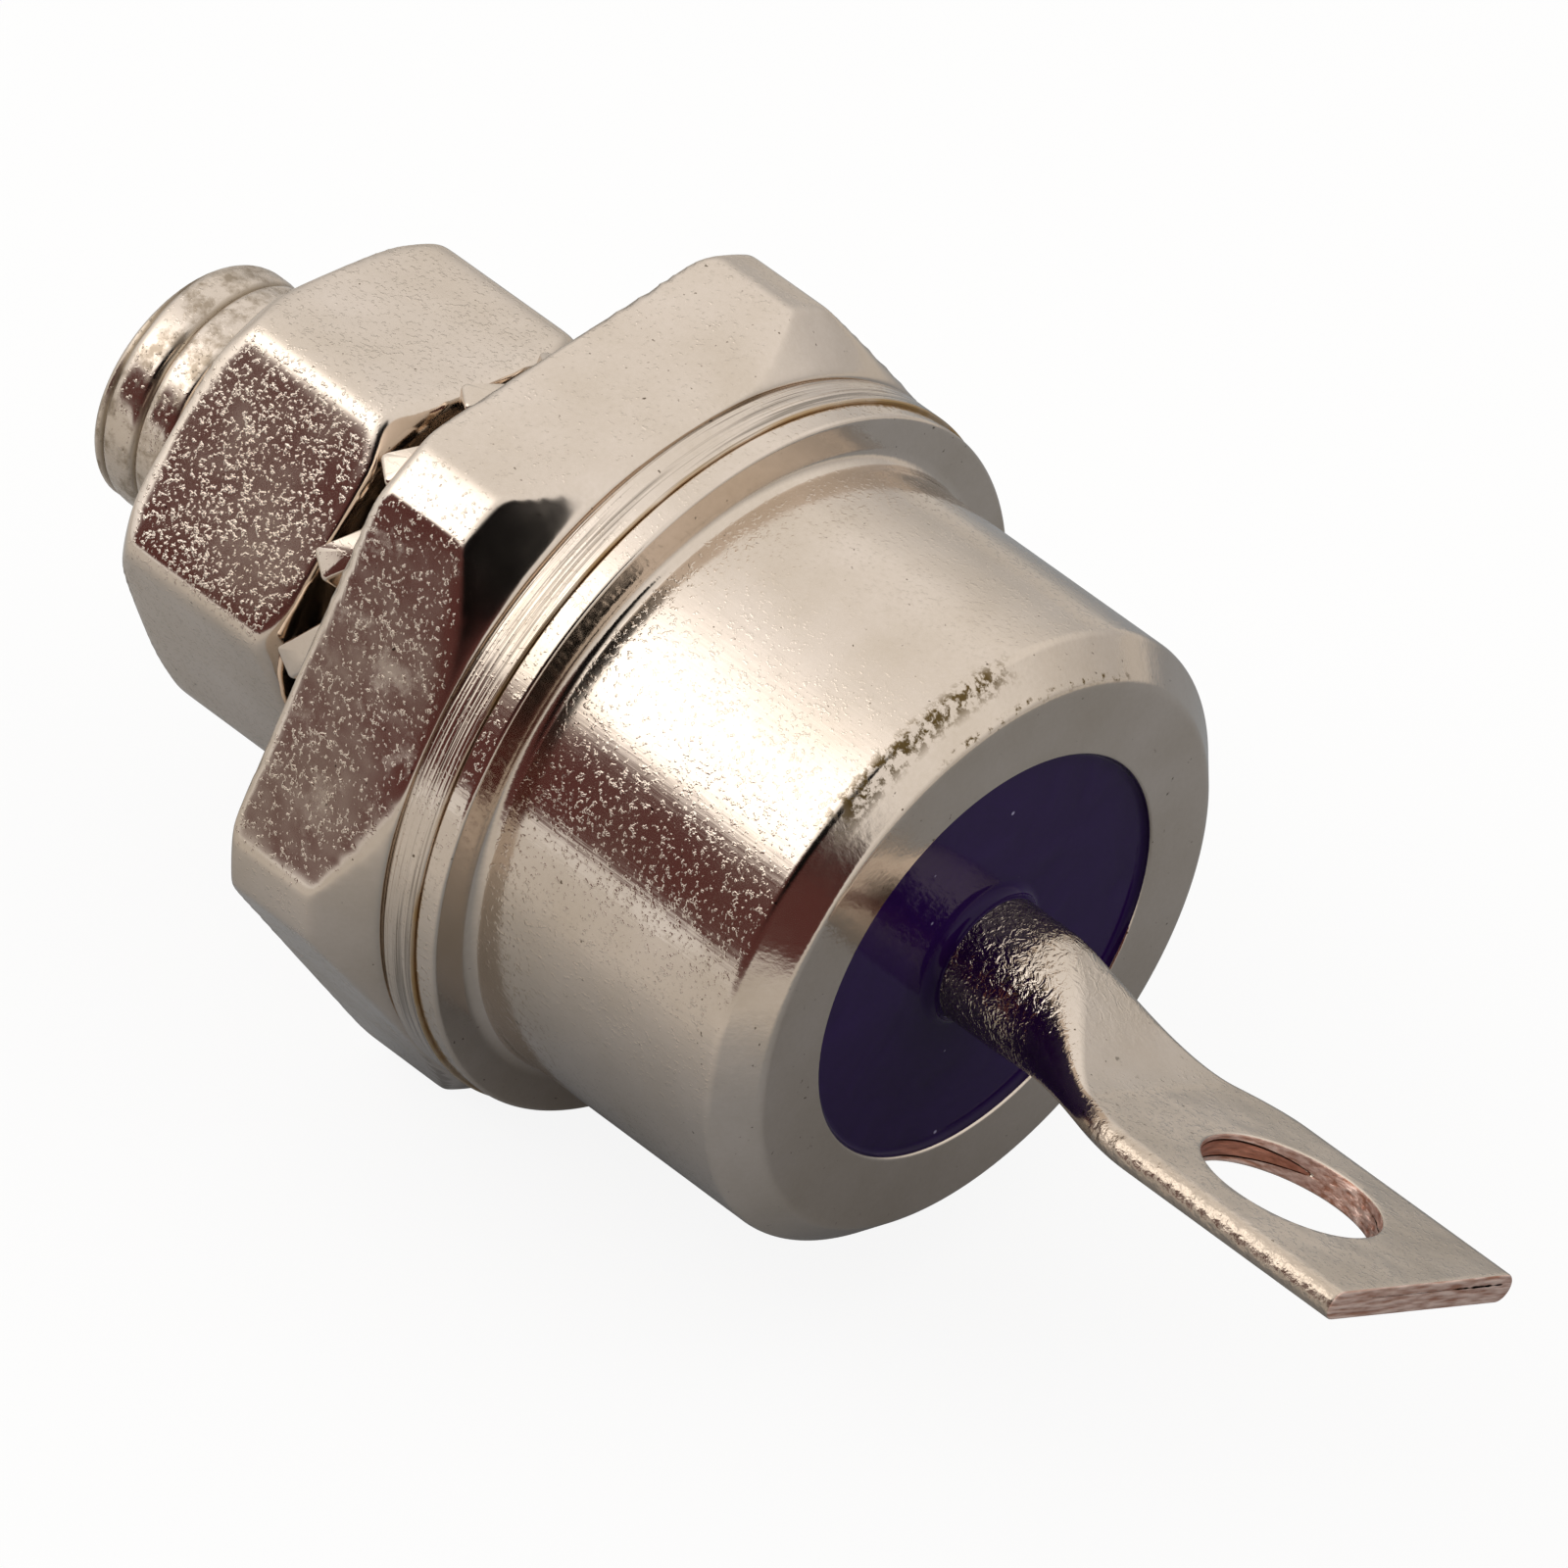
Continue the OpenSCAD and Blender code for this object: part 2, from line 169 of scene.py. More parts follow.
flat_edge = math.degrees(math.acos(hexagon_half / hexagon_corner))
flat_turns = np.concatenate([[22.5, 24], flat_edge + np.linspace(-1.2, 1.2, 11), [28.7]])
base_turns = hexagon_turns(flat_turns, 0)
stud_x = np.arange(base_low[0] + tip_round, 0, thread_step)
round_tip = np.radians(np.arange(0, 90, 9))
base_rings = [around(base_low[0], r, base_turns) for r in np.linspace(0, stud_r - tip_round, 8)]
for a in round_tip[1:]:
    tip_x = base_low[0] + tip_round * (1 - math.cos(a))
    tip_r = stud_r - tip_round * (1 - math.sin(a))
    base_rings.append(around(tip_x, np.minimum(tip_r, thread_radius(tip_x, base_turns)), base_turns))
base_rings += [around(x, thread_radius(x, base_turns), base_turns) for x in stud_x]
base_rings += [around(0, r, base_turns) for r in seat_radii]
base_rings += list(
    worn_hexagon(
        base_turns,
        aims=np.radians(np.linspace(-88, 88, 120)),
        middle=bar_middle,
        half=hexagon_half,
        corner=hexagon_corner,
        ends=(0, hexagon_top),
        cones=[
            ((hexagon_corner, hexagon_top - cone_height), (cone_height, hexagon_corner - hexagon_half)),
            ((hexagon_corner - seat_chamfer, 0), (1, -1)),
        ],
        first_flat=0,
        wear=edge_wear,
    )
)
base_rings += [around(hexagon_top, r, base_turns) for r in (seat_radii[-1], platform_r)]
base_rings += [around(base_high[0], r, base_turns) for r in platform_radii]


def linear(colour):
    """An sRGB hex colour as linear red, green, blue and alpha."""
    parts = [int(colour[i : i + 2], 16) / 255 for i in (1, 3, 5)]
    return [c / 12.92 if c <= 0.04045 else ((c + 0.055) / 1.055) ** 2.4 for c in parts] + [1]


def node(tree, kind, inputs=None, **settings):
    """Adds a shader node with its settings, and sets or links its inputs. A MapRange takes its value
    as 0, the range it comes from as 1 and 2, and the range it goes to as 3 and 4. A Mix takes two
    numbers as 2 and 3, or two colours as 6 and 7."""
    made = tree.nodes.new("ShaderNode" + kind)
    for name, value in settings.items():
        setattr(made, name, value)
    for socket, value in (inputs or {}).items():
        if isinstance(value, bpy.types.NodeSocket):
            tree.links.new(value, made.inputs[socket])
        else:
            made.inputs[socket].default_value = value
    return made


def empty_material(name):
    """A material with no nodes, its tree and the place on the part in metres."""
    material = bpy.data.materials.new(name)
    material.use_nodes = True
    tree = material.node_tree
    tree.nodes.clear()
    return material, tree, node(tree, "TexCoord").outputs["Object"]


def tumbled_faces(tree):
    """1 on faces along the axis, which were tumbled in the barrel, and 0 on those turned across it."""
    facing = node(tree, "SeparateXYZ", {0: node(tree, "NewGeometry").outputs["Normal"]})
    turned = node(tree, "Math", {0: facing.outputs[0]}, operation="ABSOLUTE")
    return node(tree, "MapRange", {0: turned.outputs[0], 1: 0.2, 2: 0.4, 3: 1, 4: 0}).outputs[0]


def nickel_plate(name, grain_depth, grain_from, reliefs=(), stains=()):
    """Nickel plate on barrel finished metal: a warm satin mirror. The grain under the plate shows as
    bright specks where it mirrors something dark, and hardly at all where it mirrors the sky. A lower
    grain_from makes the specks denser. Reliefs add bumps, and stains change colour and roughness."""
    material, tree, place = empty_material(name)
    cloud = node(tree, "TexNoise", {"Vector": place, "Scale": 1 / (3 * mm), "Detail": 4})
    speck = node(
        tree, "TexNoise", {"Vector": place, "Scale": 1 / (0.12 * mm), "Detail": 2, "Roughness": 0.6}
    )
    patchy = node(
        tree, "Math", {0: speck.outputs[0], 1: 0.25, 2: cloud.outputs[0]}, operation="MULTIPLY_ADD"
    )
    patchy = node(tree, "MapRange", {0: patchy.outputs[0], 1: 0.4, 2: 0.87})
    tone = node(
        tree,
        "Mix",
        {"Factor": patchy.outputs[0], 6: linear("#ddd0c4"), 7: linear("#cbbdad")},
        data_type="RGBA",
    )
    pit = node(tree, "TexNoise", {"Vector": place, "Scale": 1 / (0.16 * mm), "Detail": 2})
    pit = node(tree, "MapRange", {0: pit.outputs[0], 1: 0.73, 2: 0.78})
    pitted = node(
        tree,
        "Mix",
        {"Factor": pit.outputs[0], 6: tone.outputs[2], 7: linear("#6b5e50")},
        data_type="RGBA",
    )
    colour = pitted.outputs[2]
    rough = node(tree, "MapRange", {0: cloud.outputs[0], 1: 0.35, 2: 0.65, 3: 0.1, 4: 0.18}).outputs[0]
    wave = node(tree, "TexNoise", {"Vector": place, "Scale": 1 / (1.4 * mm), "Detail": 2})
    normal = node(tree, "Bump", {"Height": wave.outputs[0], "Distance": 0.02 * mm}).outputs[0]
    crowd = node(tree, "TexNoise", {"Vector": place, "Scale": 1 / (0.9 * mm), "Detail": 2})
    crowd = node(tree, "MapRange", {0: crowd.outputs[0], 1: 0.35, 2: 0.65, 3: -0.03, 4: 0.03})
    grain = node(tree, "Math", {0: speck.outputs[0], 1: crowd.outputs[0]}, operation="ADD")
    grain = node(
        tree,
        "MapRange",
        {0: grain.outputs[0], 1: grain_from, 2: grain_from + 0.16},
        interpolation_type="SMOOTHSTEP",
    )
    grain = node(tree, "Math", {0: grain.outputs[0], 1: tumbled_faces(tree)}, operation="MULTIPLY")
    for height, depth in [(grain.outputs[0], grain_depth)] + [relief(tree, place) for relief in reliefs]:
        normal = node(
            tree, "Bump", {"Height": height, "Distance": depth * mm, "Normal": normal}
        ).outputs[0]
    for stain in stains:
        colour, rough = stain(tree, place, colour, rough)
    shader = node(
        tree,
        "BsdfPrincipled",
        {"Base Color": colour, "Metallic": 1, "Roughness": rough, "Normal": normal},
    )
    node(tree, "OutputMaterial", {"Surface": shader.outputs[0]})
    return material


def handling_haze(tree, place, colour, rough):
    """Patches of finger film on the flats, which dull the mirror."""
    film = node(
        tree, "TexNoise", {"Vector": place, "Scale": 1 / (1.1 * mm), "Detail": 8, "Roughness": 0.7}
    )
    film = node(tree, "MapRange", {0: film.outputs[0], 1: 0.55, 2: 0.66})
    film = node(tree, "Math", {0: film.outputs[0], 1: tumbled_faces(tree)}, operation="MULTIPLY")
    return colour, node(tree, "Mix", {"Factor": film.outputs[0], 2: rough, 3: 0.32}).outputs[0]


def thread_dirt(tree, place, colour, rough):
    """Old grease in the valleys of the thread and in patches over it, brown and dull."""
    axis = node(tree, "SeparateXYZ", {0: place})
    down = node(tree, "Math", {0: axis.outputs[2], 1: -1}, operation="MULTIPLY")
    turn = node(tree, "Math", {0: axis.outputs[1], 1: down.outputs[0]}, operation="ARCTAN2")
    turn = node(tree, "Math", {0: turn.outputs[0], 1: 2 * math.pi}, operation="DIVIDE")
    phase = node(tree, "Math", {0: axis.outputs[0], 1: thread_start * mm}, operation="SUBTRACT")
    phase = node(tree, "Math", {0: phase.outputs[0], 1: pitch * mm}, operation="DIVIDE")
    phase = node(tree, "Math", {0: phase.outputs[0], 1: turn.outputs[0]}, operation="SUBTRACT")
    valley = node(tree, "Math", {0: phase.outputs[0], 1: 0.5}, operation="PINGPONG")
    valley = node(tree, "MapRange", {0: valley.outputs[0], 1: 0.02, 2: 0.12, 3: 0.8, 4: 0})
    end = base_low[0] * mm
    past_end = node(tree, "MapRange", {0: axis.outputs[0], 1: end + 0.02 * mm, 2: end + 0.1 * mm})
    valley = node(tree, "Math", {0: valley.outputs[0], 1: past_end.outputs[0]}, operation="MULTIPLY")
    film = node(
        tree, "TexNoise", {"Vector": place, "Scale": 1 / (0.6 * mm), "Detail": 6, "Roughness": 0.65}
    )
    film = node(tree, "MapRange", {0: film.outputs[0], 1: 0.47, 2: 0.62, 4: 0.65})
    valley = node(tree, "Math", {0: valley.outputs[0], 1: film.outputs[0]}, operation="MAXIMUM")
    stud = node(tree, "MapRange", {0: axis.outputs[0], 1: -1 * mm, 2: 0, 3: 1, 4: 0})
    amount = node(tree, "Math", {0: valley.outputs[0], 1: stud.outputs[0]}, operation="MULTIPLY")
    greasy = node(
        tree, "Mix", {"Factor": amount.outputs[0], 6: colour, 7: linear("#7d6b52")}, data_type="RGBA"
    )
    dull = node(tree, "Mix", {"Factor": amount.outputs[0], 2: rough, 3: 0.45})
    return greasy.outputs[2], dull.outputs[0]


base = bpy.data.objects.new("hexagon_and_stud", skin("hexagon_and_stud", base_rings))
base.data.materials.append(
    nickel_plate(
        "nickel_plate_on_turned_copper",
        grain_depth=0.008,
        grain_from=0.57,
        stains=[handling_haze, thread_dirt],
    )
)
scene.collection.objects.link(base)
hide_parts("base_stud")
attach(base, "root")


# Weld ring: a steel ring turned on a lathe and brazed round the platform, which takes the cap's
# weld. It keeps its fine turned lines under the nickel, and a dark groove at its foot.

ring_high = size("weld_ring")[1]
ring_r = ring_high[2]
ring_top = ring_high[0]
ring_groove = 0.1
ring_chamfer = 0.04


def rounded(corners, rounds, steps=6, guard=0.03):
    """A closed outline with its corners rounded. Guard points keep the straight sides' shading flat."""
    corners = [np.array(corner, float) for corner in corners]
    points = []
    for i, corner in enumerate(corners):
        to_last = corners[i - 1] - corner
        to_next = corners[(i + 1) % len(corners)] - corner
        to_last /= np.linalg.norm(to_last)
        to_next /= np.linalg.norm(to_next)
        half = math.acos(np.clip(to_last @ to_next, -1, 1)) / 2
        back = rounds[i] / math.tan(half)
        inward = (to_last + to_next) / np.linalg.norm(to_last + to_next)
        middle = corner + inward * rounds[i] / math.sin(half)
        start = corner + to_last * back - middle
        end = corner + to_next * back - middle
        first = math.atan2(start[1], start[0])
        sweep = (math.atan2(end[1], end[0]) - first + math.pi) % (2 * math.pi) - math.pi
        arc = first + sweep * np.linspace(0, 1, steps + 1)
        points.append(corner + to_last * (back + guard))
        points += [middle + rounds[i] * np.array([math.cos(a), math.sin(a)]) for a in arc]
        points.append(corner + to_next * (back + guard))
    return np.array(points)


full_turn = np.linspace(0, 2 * math.pi, 256, endpoint=False)
ring_corners = [
    (platform_r, hexagon_top),
    (ring_r - ring_groove, hexagon_top),
    (ring_r - ring_groove, hexagon_top + ring_groove),
    (ring_r, hexagon_top + ring_groove),
    (ring_r, ring_top - ring_chamfer),
    (ring_r - ring_chamfer, ring_top),
    (platform_r, ring_top),
]
ring_rounds = [0.02, 0.01, 0.02, 0.03, 0.015, 0.015, 0.02]
ring_outline = rounded(ring_corners, ring_rounds, guard=0.01)
ring = bpy.data.objects.new(
    "turned_weld_ring",
    skin("turned_weld_ring", [around(x, r, full_turn) for r, x in ring_outline], loop=True),
)


def seam_stain(tree, place, colour, rough):
    """Flux and rust creep out of the weld seam as an amber line, broken round the turn."""
    axis = node(tree, "SeparateXYZ", {0: place})
    off = node(tree, "Math", {0: axis.outputs[0], 1: ring_top * mm}, operation="SUBTRACT")
    off = node(tree, "Math", {0: off.outputs[0]}, operation="ABSOLUTE")
    line = node(tree, "MapRange", {0: off.outputs[0], 1: 0.02 * mm, 2: 0.06 * mm, 3: 0.8, 4: 0})
    patch = node(tree, "TexNoise", {"Vector": place, "Scale": 1 / (2.5 * mm), "Detail": 3})
    patch = node(tree, "MapRange", {0: patch.outputs[0], 1: 0.35, 2: 0.55})
    amount = node(tree, "Math", {0: line.outputs[0], 1: patch.outputs[0]}, operation="MULTIPLY")
    tinted = node(
        tree, "Mix", {"Factor": amount.outputs[0], 6: colour, 7: linear("#a98444")}, data_type="RGBA"
    )
    dull = node(tree, "Mix", {"Factor": amount.outputs[0], 2: rough, 3: 0.5})
    return tinted.outputs[2], dull.outputs[0]


def tool_cut(tree, place):
    """Fine lines of the lathe tool round the ring, broken where the plate fills them."""
    spread = node(
        tree, "Mapping", {"Vector": place, "Scale": [1 / (0.09 * mm), 1 / (5 * mm), 1 / (5 * mm)]}
    )
    return node(tree, "TexNoise", {"Vector": spread.outputs[0], "Scale": 1, "Detail": 2}).outputs[0]


def turned_lines(tree, place):
    """The tool's lines as a relief."""
    return tool_cut(tree, place), 0.04


def grey_deep_lines(tree, place, colour, rough):
    """Darker grey in the deeper of the tool's lines."""
    deep = node(tree, "MapRange", {0: tool_cut(tree, place), 1: 0.38, 2: 0.5, 3: 0.7, 4: 0})
    greyed = node(
        tree, "Mix", {"Factor": deep.outputs[0], 6: colour, 7: linear("#7a7064")}, data_type="RGBA"
    )
    return greyed.outputs[2], rough


ring.data.materials.append(
    nickel_plate(
        "nickel_plate_on_turned_steel",
        grain_depth=0.003,
        grain_from=0.55,
        reliefs=[turned_lines],
        stains=[grey_deep_lines, seam_stain],
    )
)
scene.collection.objects.link(ring)
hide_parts("weld_ring")
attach(ring, "root")


# Solder, molybdenum, silicon and silicone: the stack on the platform, closed in by the cap.
# Bought discs soldered in a furnace, then the silicon's edge is coated. The CAD solids are kept.


def stack_material(name, light, dark, patch_mm, metallic, roughness):
    """A stack material with a cloud of two tones and a fine uneven surface: clouded grey for solder,
    a darker rolled grain for molybdenum, dark satin for lapped silicon, milky white for silicone."""
    material, tree, place = empty_material(name)
    cloud = node(tree, "TexNoise", {"Vector": place, "Scale": 1 / (patch_mm * mm), "Detail": 4})
    tone = node(
        tree, "Mix", {"Factor": cloud.outputs[0], 6: linear(light), 7: linear(dark)}, data_type="RGBA"
    )
    normal = node(tree, "Bump", {"Height": cloud.outputs[0], "Distance": 0.01 * mm})
    shader = node(
        tree,
        "BsdfPrincipled",
        {
            "Base Color": tone.outputs[2],
            "Metallic": metallic,
            "Roughness": roughness,
            "Normal": normal.outputs[0],
        },
    )
    node(tree, "OutputMaterial", {"Surface": shader.outputs[0]})
    return material


soft_solder = stack_material(
    "soft_solder", "#c4c6c8", "#9a9da0", patch_mm=0.4, metallic=1, roughness=0.35
)
rolled_molybdenum = stack_material(
    "rolled_molybdenum", "#8f9298", "#777a80", patch_mm=0.2, metallic=1, roughness=0.3
)
lapped_silicon = stack_material(
    "lapped_silicon", "#565a63", "#484c55", patch_mm=0.1, metallic=0, roughness=0.25
)
silicone_rubber = stack_material(
    "silicone_rubber", "#e8e6df", "#d9d6cd", patch_mm=0.8, metallic=0, roughness=0.45
)
stack = {
    "solder_base": soft_solder,
    "lower_moly_disc": rolled_molybdenum,
    "solder_die_lower": soft_solder,
    "silicon_die": lapped_silicon,
    "solder_die_upper": soft_solder,
    "upper_moly_disc": rolled_molybdenum,
    "solder_lead": soft_solder,
    "junction_coat": silicone_rubber,
}
for part, material in stack.items():
    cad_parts[part].data.materials.clear()
    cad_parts[part].data.materials.append(material)


# Cap: drawn from steel sheet, with a flange welded to the ring and a thick top that holds the
# glass. Plated and then handled, so it has a fine grain, and dirt along its shoulder.

cap_high = size("cap")[1]
cap_top = cap_high[0]
flange_r = cap_high[2]
cap_r = 7.5
cap_inner_r = 6.6
ceiling = size("glass_seal")[0][0]
seal_r = size("glass_seal")[1][2]
flange_thick = 0.55
flange_hollow = 0.3
shoulder = 0.8
shoulder_round = 0.3
inner_bevel = 0.45
cap_corners = [
    (cap_inner_r, ring_top),
    (flange_r, ring_top),
    (flange_r, ring_top + flange_thick),
    (cap_r, ring_top + flange_thick),
    (cap_r, cap_top - shoulder),
    (cap_r - shoulder, cap_top),
    (seal_r, cap_top),
    (seal_r, ceiling),
    (cap_inner_r - inner_bevel, ceiling),
    (cap_inner_r, ceiling - inner_bevel),
]
cap_rounds = [0.02, 0.04, 0.1, flange_hollow, shoulder_round, shoulder_round, 0.07, 0.02, 0.05, 0.05]
cap_outline = rounded(cap_corners, cap_rounds, steps=12)
cap = bpy.data.objects.new(
    "drawn_cap", skin("drawn_cap", [around(x, r, full_turn) for r, x in cap_outline], loop=True)
)


def shoulder_dirt(tree, place, colour, rough):
    """Brown dirt and polish left in clumps along the shoulder's two edges, on the upper side. Each
    edge is where three bands meet: an axis, the band's middle, its half width and its soft border."""
    axis = node(tree, "SeparateXYZ", {0: place})
    clump = node(
        tree, "TexNoise", {"Vector": place, "Scale": 1 / (0.24 * mm), "Detail": 8, "Roughness": 0.7}
    ).outputs[0]
    outer_edge = ((0, cap_top - shoulder + 0.08, 0.1, 0.25), (1, -1.7, 2.0, 0.9), (2, 7, 2, 1))
    inner_edge = ((0, cap_top - 0.1, 0.04, 0.04), (1, 1.5, 2.5, 1.0), (2, 6.3, 0.6, 0.4))
    amount = 0
    for bands, thin in ((outer_edge, 0.47), (inner_edge, 0.53)):
        line = node(tree, "MapRange", {0: clump, 1: thin, 2: thin + 0.08}).outputs[0]
        for socket, middle, half, soft in bands:
            off = node(tree, "Math", {0: axis.outputs[socket], 1: middle * mm}, operation="SUBTRACT")
            off = node(tree, "Math", {0: off.outputs[0]}, operation="ABSOLUTE").outputs[0]
            band = node(tree, "MapRange", {0: off, 1: half * mm, 2: (half + soft) * mm, 3: 1, 4: 0})
            line = node(tree, "Math", {0: line, 1: band.outputs[0]}, operation="MULTIPLY").outputs[0]
        amount = node(tree, "Math", {0: amount, 1: line}, operation="MAXIMUM").outputs[0]
    soiled = node(tree, "Mix", {"Factor": amount, 6: colour, 7: linear("#6b5836")}, data_type="RGBA")
    dull = node(tree, "Mix", {"Factor": amount, 2: rough, 3: 0.55})
    return soiled.outputs[2], dull.outputs[0]


def drawn_streaks(tree, place):
    """Faint streaks of the drawing die along the wall."""
    spread = node(
        tree, "Mapping", {"Vector": place, "Scale": [1 / (2.5 * mm), 1 / (0.12 * mm), 1 / (0.12 * mm)]}
    )
    streak = node(tree, "TexNoise", {"Vector": spread.outputs[0], "Scale": 1, "Detail": 2})
    return streak.outputs[0], 0.003


cap.data.materials.append(
    nickel_plate(
        "nickel_plate_on_drawn_steel",
        grain_depth=0.005,
        grain_from=0.55,
        reliefs=[drawn_streaks],
        stains=[seam_stain, shoulder_dirt],
    )
)
scene.collection.objects.link(cap)
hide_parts("cap")
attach(cap, "root")


# Glass seal: cobalt blue glass melted in a furnace between the cap and the tube. It creeps up
# the tube and the cap's hole a little as it sets, and holds a few small bubbles.

tube_r = 1.5
glass_top = 12.85
creep = 0.3
edge_creep = 0.15
rise = np.radians(np.linspace(270, 180, 12))
glass_outline = [(tube_r, ceiling), (seal_r, ceiling), (seal_r, glass_top + edge_creep)]
glass_outline += [
    (seal_r - edge_creep * (1 - math.cos(a)), glass_top + edge_creep * (1 - math.sin(a)))
    for a in np.radians(np.linspace(10, 90, 6))
]
glass_outline += [(r, glass_top) for r in np.linspace(seal_r - 0.2, tube_r + creep + 0.03, 8)]
glass_outline += [
    (tube_r + creep + creep * math.cos(a), glass_top + creep + creep * math.sin(a)) for a in rise
]
glass = bpy.data.objects.new(
    "fused_glass", skin("fused_glass", [around(x, r, full_turn) for r, x in glass_outline], loop=True)
)


def cobalt_glass():
    """Cobalt glass this thick lets hardly any light back: a deep violet with a sharp gloss, a soft
    swirl from the melt and tiny bubbles, whose glint is painted in as pale spots."""
    material, tree, place = empty_material("cobalt_glass")
    swirl = node(
        tree,
        "TexNoise",
        {"Vector": place, "Scale": 1 / (1.6 * mm), "Detail": 3, "Distortion": 0.8},
    )
    deep = node(
        tree,
        "Mix",
        {"Factor": swirl.outputs[0], 6: linear("#220d3c"), 7: linear("#2e1452")},
        data_type="RGBA",
    )
    # Painted glint: pale lavender spots in the colour where the bubbles catch the light.
    bubble_glint = node(tree, "TexVoronoi", {"Vector": place, "Scale": 1 / (1.2 * mm)})
    bubble_glint = node(tree, "MapRange", {0: bubble_glint.outputs["Distance"], 1: 0.02, 2: 0.05, 3: 1, 4: 0})
    colour = node(
        tree,
        "Mix",
        {"Factor": bubble_glint.outputs[0], 6: deep.outputs[2], 7: linear("#b9b4d8")},
        data_type="RGBA",
    )
    normal = node(tree, "Bump", {"Height": swirl.outputs[0], "Distance": 0.02 * mm})
    shader = node(
        tree,
        "BsdfPrincipled",
        {
            "Base Color": colour.outputs[2],
            "Roughness": 0.07,
            "IOR": 1.52,
            "Specular IOR Level": 0.14,
            "Normal": normal.outputs[0],
        },
    )
    node(tree, "OutputMaterial", {"Surface": shader.outputs[0]})
    return material


glass.data.materials.append(cobalt_glass())
scene.collection.objects.link(glass)
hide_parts("glass_seal")
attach(glass, "root")


# Terminal: a plated copper tube with the lead inside it, pressed flat into a tab in one stroke,
# then punched and sheared, so that bare copper shows in the hole and at the end.

tube_low, tube_high = size("terminal_tube")
tab_end = tube_high[0]
flatten_x = cap_top + 1.3
flatten_length = 4
spread_x = flatten_x + 0.5
spread_length = 5.2
tab_half = 3.35
tab_thick = 0.7
tab_drop = 0.1
tab_angle = math.radians(59)
hole_r = 2.06
hole_x = tab_end - 3.9
cut_round = 0.06
tube_step = 0.12


def ease(start, end, x):
    """A smooth step from 0 at the start to 1 at the end."""
    t = np.clip((x - start) / (end - start), 0, 1)
    return t * t * (3 - 2 * t)


def tab_point(across, up, x):
    """A point of the tab from its own axes: across its width, up from the tube's axis and along x."""
    across, up, x = np.broadcast_arrays(across, up, x)
    down = across * math.cos(tab_angle) - up * math.sin(tab_angle)
    side = across * math.sin(tab_angle) + up * math.cos(tab_angle)
    return np.stack([x, side, -down], axis=-1)


def pressed_section(x, inset=0.0):
    """The tube's outline at x: round at first, then two half circles with flats between them."""
    pressed = ease(flatten_x, flatten_x + flatten_length, x)
    upper = tube_r - (tube_r + tab_drop) * pressed
    lower = -tube_r + (tube_r - tab_drop - tab_thick) * pressed
    half_t = (upper - lower) / 2 - inset
    half_w = tube_r + (tab_half - tube_r) * ease(spread_x, spread_x + spread_length, x) - inset
    flat = half_w - half_t
    share = np.concatenate([[1, 0.985], np.linspace(0.93, -0.93, 25), [-0.985, -1]])
    bow = np.radians(np.linspace(0, 180, 17))[1:-1]
    across = np.concatenate([flat * share, -flat - half_t * np.sin(bow)])
    up = np.concatenate([np.full(len(share), half_t), half_t * np.cos(bow)])
    across, up = np.concatenate([across, -across]), np.concatenate([up, -up])
    return across, (upper + lower) / 2 + up, (upper + lower) / 2, flat


tube_x = np.arange(glass_top, tab_end - cut_round, tube_step)
tube_x = np.concatenate([[tube_low[0], ceiling], tube_x])
tube_rings = []
for x in tube_x:
    across, up, middle, flat = pressed_section(x)
    tube_rings.append(tab_point(across, up, x))
for a in np.radians(np.linspace(0, 90, 6)):
    across, up, middle, flat = pressed_section(tab_end, cut_round * (1 - math.cos(a)))
    tube_rings.append(tab_point(across, up, tab_end - cut_round * (1 - math.sin(a))))
tube_rings.append(tab_point(np.clip(across, -flat, flat), middle, tab_end))
across, up, middle, flat = pressed_section(tube_low[0])
tube_rings.insert(0, tab_point(0 * across, middle, tube_low[0]))

# The hole's punch leaves a rounded lip at both faces, and a torn wall on the half away from the tube.
punch_turns = np.linspace(0, 2 * math.pi, 160, endpoint=False)
punch_reach = 1
tear_depth = 0.05
tear_from = 0.1
draw = np.random.default_rng(7)


def ragged(turns, waves, depth):
    """A repeatable ragged line round a turn, from waves with drawn phases."""
    height = 0 * turns
    for wave in waves:
        height = height + np.cos(wave * turns + draw.uniform(0, 2 * math.pi)) / len(waves)
    return depth * height


def tip(point, turns):
    """A ring of one repeated point, which closes the end of a skin."""
    return np.repeat(point[None], len(turns), axis=0)


hole_rings = []
face_up = -tab_drop
face_down = -tab_drop - tab_thick
for up in np.concatenate(
    [
        [face_up + punch_reach, face_up + 0.01],
        face_up - cut_round * (1 - np.cos(np.radians(np.linspace(0, 90, 6)))),
        np.linspace(face_up - tear_from, face_down + tear_from, 9),
        face_down + cut_round * (1 - np.cos(np.radians(np.linspace(90, 0, 6)))),
        [face_down - 0.01, face_down - punch_reach],
    ]
):
    depth_in = min(face_up - up, up - face_down)
    below_lip = np.clip(depth_in, 0, cut_round)
    lip = cut_round - math.sqrt(cut_round**2 - (cut_round - below_lip) ** 2)
    torn = ragged(punch_turns, (9, 14, 23, 31), tear_depth if depth_in > tear_from else 0)
    radius = hole_r + lip + torn * (np.cos(punch_turns) > 0)
    hole_rings.append(tab_point(radius * np.sin(punch_turns), up, hole_x + radius * np.cos(punch_turns)))
hole_rings.insert(0, tip(tab_point(0, face_up + punch_reach, hole_x), punch_turns))
hole_rings.append(tip(tab_point(0, face_down - punch_reach, hole_x), punch_turns))

